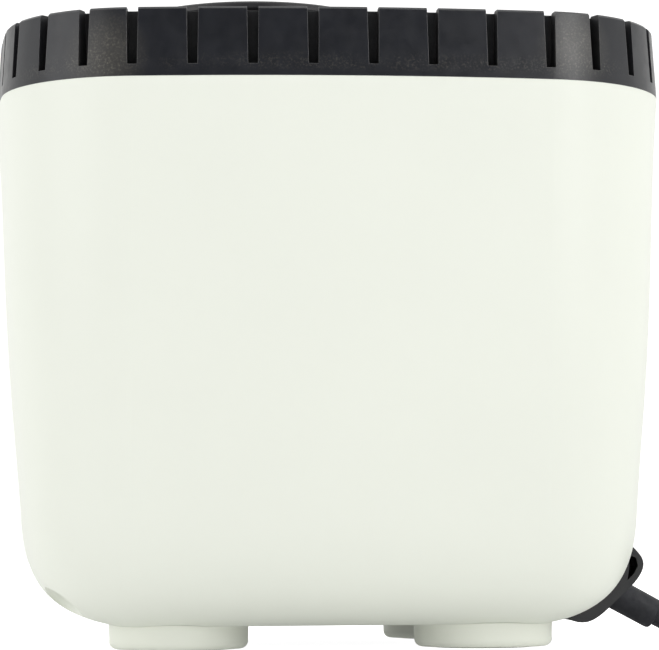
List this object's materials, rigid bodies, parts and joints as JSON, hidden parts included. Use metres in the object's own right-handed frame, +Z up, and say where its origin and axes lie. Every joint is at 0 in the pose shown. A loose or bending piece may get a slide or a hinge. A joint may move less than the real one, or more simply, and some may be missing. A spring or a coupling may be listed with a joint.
{
  "type": "countertop circulating water bath",
  "caption": "Free-standing sous vide bath: squat moulded body, castellated vent crown, hinged lid with dial, steel tank with magnetic pump, round feet and coiled mains cord.",
  "frame": {"origin": "on the floor under the middle of the body", "axes": "+Z up; the lid opens at its -X side, the hinge and the mains cord are at +X"},
  "size_m": [0.3782, 0.2371, 0.2264],
  "materials": {
    "shell_white": "fine satin moulded plastic",
    "foot_white": "satin moulded plastic",
    "cover_grey": "fine texture",
    "pad_rubber": "matt non-slip rubber",
    "crown_black": "spark-eroded satin texture",
    "lid_black": "satin",
    "panel_black": "satin",
    "dial_dark": "semi gloss",
    "button_grey": "satin",
    "display_glass": "smoked, polished",
    "tank_steel": "drawn and brushed",
    "liner_steel": "brushed",
    "shield_steel": "galvanised",
    "element_steel": "heat-tinted",
    "motor_steel": "plated can",
    "steel_pin": "ground",
    "screw_steel": "zinc plated",
    "magnet_nickel": "nickel plated",
    "heater_aluminium": "machined",
    "chassis_aluminium": "brushed sheet",
    "brass_nut": "turned",
    "pin_brass": "polished",
    "seal_rubber": "silicone",
    "hose_rubber": "silicone hose",
    "cord_rubber": "flexible sheath",
    "tie_black": "woven strap",
    "plug_black": "moulded",
    "fan_black": "moulded",
    "impeller_grey": "moulded",
    "post_nylon": "nylon",
    "fuse_white": "ceramic",
    "board_green": "solder resist",
    "transformer_yellow": "taped winding",
    "relay_blue": "moulded",
    "capacitor_black": "sleeved can",
    "terminal_green": "moulded",
    "encoder_grey": "die cast",
    "switch_black": "moulded"
  },
  "bodies": {
    "base": {"board_posts": "post_nylon", "bottom_cover": "cover_grey", "capacitors": "capacitor_black", "chassis_plate": "chassis_aluminium", "chassis_posts": "brass_nut", "chassis_screws": "screw_steel", "circulation_motor": "motor_steel", "cord_clamp": "fan_black", "cord_coil": "cord_rubber", "cord_entry": "cord_rubber", "cord_lead": "cord_rubber", "cord_panel": "panel_black", "cord_tail": "cord_rubber", "cord_tie": "tie_black", "drain_bung": "seal_rubber", "drain_cover": "shell_white", "drain_tube": "hose_rubber", "flow_guard": "tank_steel", "foot_front_left": "foot_white", "foot_front_right": "foot_white", "foot_pads": "pad_rubber", "foot_rear_left": "foot_white", "foot_rear_right": "foot_white", "hatch_screws": "screw_steel", "heat_shield": "shield_steel", "heater_plate": "heater_aluminium", "heating_element": "element_steel", "hinge_pins": "steel_pin", "impeller_post": "steel_pin", "magnet_keeper": "shield_steel", "outer_shell": "shell_white", "plug_body": "plug_black", "plug_pins": "pin_brass", "power_board": "board_green", "probe_nut": "brass_nut", "relays": "relay_blue", "strain_relief": "cord_rubber", "tank_gasket": "seal_rubber", "temperature_probe": "steel_pin", "terminal_block": "terminal_green", "thermal_fuse": "fuse_white", "transformer": "transformer_yellow", "vent_crown": "crown_black", "water_tank": "tank_steel"},
    "lid": {"lid_cover": "lid_black", "lid_liner": "liner_steel", "lid_gasket": "seal_rubber", "lid_magnet": "magnet_nickel", "control_board": "board_green", "dial_encoder": "encoder_grey", "tact_switches": "switch_black", "display_lens": "display_glass"},
    "dial": {"control_dial": "dial_dark"},
    "power_key": {"power_button": "button_grey"},
    "start_key": {"start_button": "button_grey"},
    "rotor": {"motor_shaft": "steel_pin", "drive_magnet": "magnet_nickel", "cooling_fan": "fan_black"},
    "impeller": {"impeller": "impeller_grey", "impeller_magnet": "magnet_nickel"}
  },
  "joints": [
    {"name": "lid_hinge", "type": "hinge", "parent": "base", "child": "lid", "pos_m": [0.089, 0, 0.2054], "axis": [0, 1, 0], "range_deg": [0, 95]},
    {"name": "dial_turn", "type": "hinge", "parent": "lid", "child": "dial", "pos_m": [-0.0232, 0, 0.214], "axis": [0, 0, 1], "continuous": true},
    {"name": "power_press", "type": "slide", "parent": "lid", "child": "power_key", "axis": [0, 0, -1], "range_m": [0, 0.0012], "stiffness_N_per_m": 300, "springref_m": -0.002},
    {"name": "start_press", "type": "slide", "parent": "lid", "child": "start_key", "axis": [0, 0, -1], "range_m": [0, 0.0012], "stiffness_N_per_m": 300, "springref_m": -0.002},
    {"name": "motor_spin", "type": "hinge", "parent": "base", "child": "rotor", "pos_m": [0, 0, 0.04], "axis": [0, 0, 1], "continuous": true},
    {"name": "impeller_spin", "type": "hinge", "parent": "base", "child": "impeller", "pos_m": [0, 0, 0.08], "axis": [0, 0, 1], "continuous": true}
  ],
  "couplings": [
    {"joint": "impeller_spin", "follows": "motor_spin", "ratio": 1}
  ]
}
